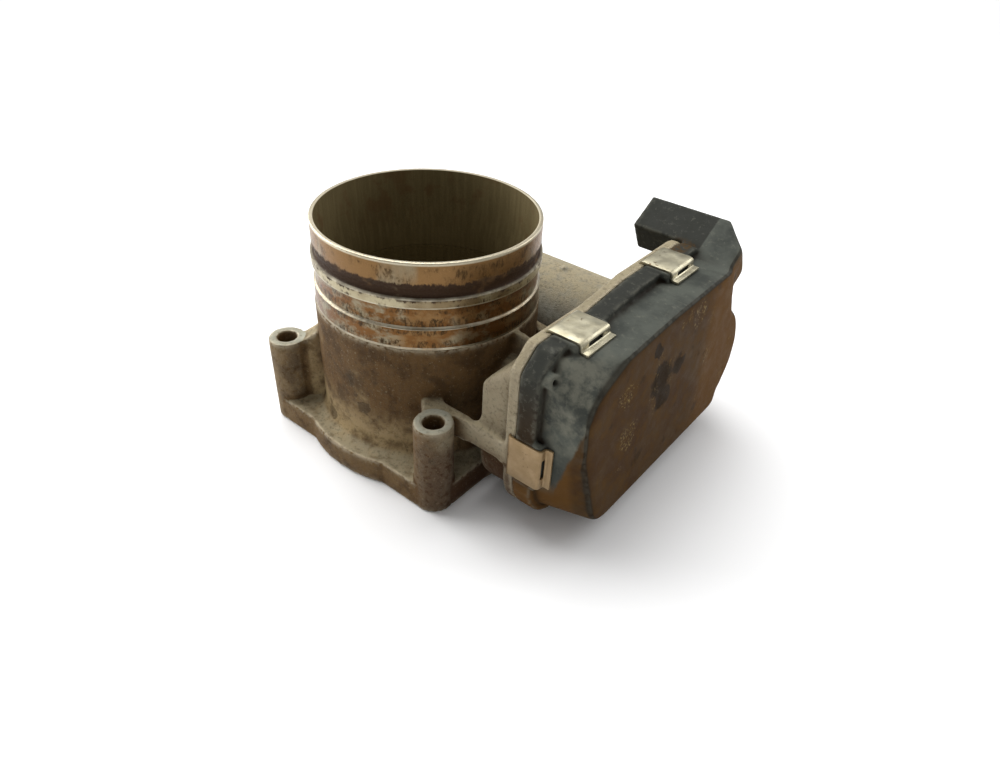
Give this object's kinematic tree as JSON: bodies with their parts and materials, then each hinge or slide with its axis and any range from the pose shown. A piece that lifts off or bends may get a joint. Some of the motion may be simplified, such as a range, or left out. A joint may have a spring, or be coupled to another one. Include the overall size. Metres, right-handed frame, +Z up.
{
  "type": "throttle body",
  "caption": "Electronic throttle body: cast housing with round inlet spigot, square bolted flange, butterfly plate, motor gear drive under a clipped plastic cover, wiring socket",
  "frame": {"origin": "where the bore's axis meets the mounting face of the flange", "axes": "+Z up the bore to the inlet, +X along the throttle shaft to the gear cover, +Y towards the motor"},
  "size_m": [0.1311, 0.1262, 0.079],
  "materials": {
    "cast_aluminium": "cast, weathered",
    "bright_aluminium": "machined",
    "bearing_steel": "ground",
    "dark_steel": "dull",
    "spring_steel": "stamped",
    "brass": "satin",
    "copper": "enamelled",
    "cover_plastic": "dusty, glass filled",
    "gear_plastic": "moulded",
    "rubber": "matt",
    "board": "lacquered"
  },
  "bodies": {
    "housing": {"throttle_housing": "cast_aluminium", "left_bearing_outer_race": "bearing_steel", "left_bearing_balls": "dark_steel", "bearing_end_cap": "bright_aluminium", "needle_bearing_cup": "bearing_steel", "needle_rollers": "dark_steel", "left_shaft_seal": "rubber", "right_shaft_seal": "rubber", "spring_sleeve": "cover_plastic", "return_spring": "dark_steel", "stop_pins": "bearing_steel", "intermediate_pin": "bearing_steel", "thrust_washer": "bearing_steel", "motor_can": "bearing_steel", "motor_magnets": "dark_steel", "rear_bushing": "brass", "front_bushing": "brass", "brush_carrier": "cover_plastic", "brushes": "dark_steel", "brush_springs": "bearing_steel", "motor_terminals": "brass", "motor_plate": "bearing_steel", "motor_screws": "bearing_steel", "wave_spring": "spring_steel", "gear_cover": "cover_plastic", "cover_seal": "rubber", "sensor_board": "board", "board_chips": "cover_plastic", "board_screws": "bearing_steel", "motor_contacts": "brass", "connector_pins": "brass", "connector_seal": "rubber", "cover_clips": "spring_steel"},
    "throttle": {"throttle_shaft": "bearing_steel", "throttle_plate": "brass", "plate_screws": "bearing_steel", "left_bearing_inner_race": "bearing_steel", "sector_gear": "gear_plastic", "sector_insert": "bearing_steel", "sensor_magnet": "dark_steel", "magnet_yoke": "bearing_steel", "shaft_nut": "bearing_steel"},
    "intermediate": {"intermediate_gear": "gear_plastic"},
    "rotor": {"armature_core": "dark_steel", "armature_windings": "copper", "commutator": "copper", "motor_shaft": "bearing_steel", "motor_pinion": "brass"}
  },
  "joints": [
    {"name": "throttle_hinge", "type": "hinge", "parent": "housing", "child": "throttle", "pos_m": [0, 0, 0.033], "axis": [1, 0, 0], "range_deg": [-7, 79], "stiffness_Nm_per_rad": 0.2},
    {"name": "intermediate_spin", "type": "hinge", "parent": "housing", "child": "intermediate", "pos_m": [0.062, 0.03147, 0.03157], "axis": [1, 0, 0], "range_deg": [-310, 35]},
    {"name": "motor_spin", "type": "hinge", "parent": "housing", "child": "rotor", "pos_m": [0.02, 0.0575, 0.0224], "axis": [1, 0, 0], "range_deg": [-125, 1320]}
  ],
  "couplings": [
    {"joint": "intermediate_spin", "follows": "throttle_hinge", "ratio": -3.8462},
    {"joint": "motor_spin", "follows": "throttle_hinge", "ratio": 16.568}
  ]
}
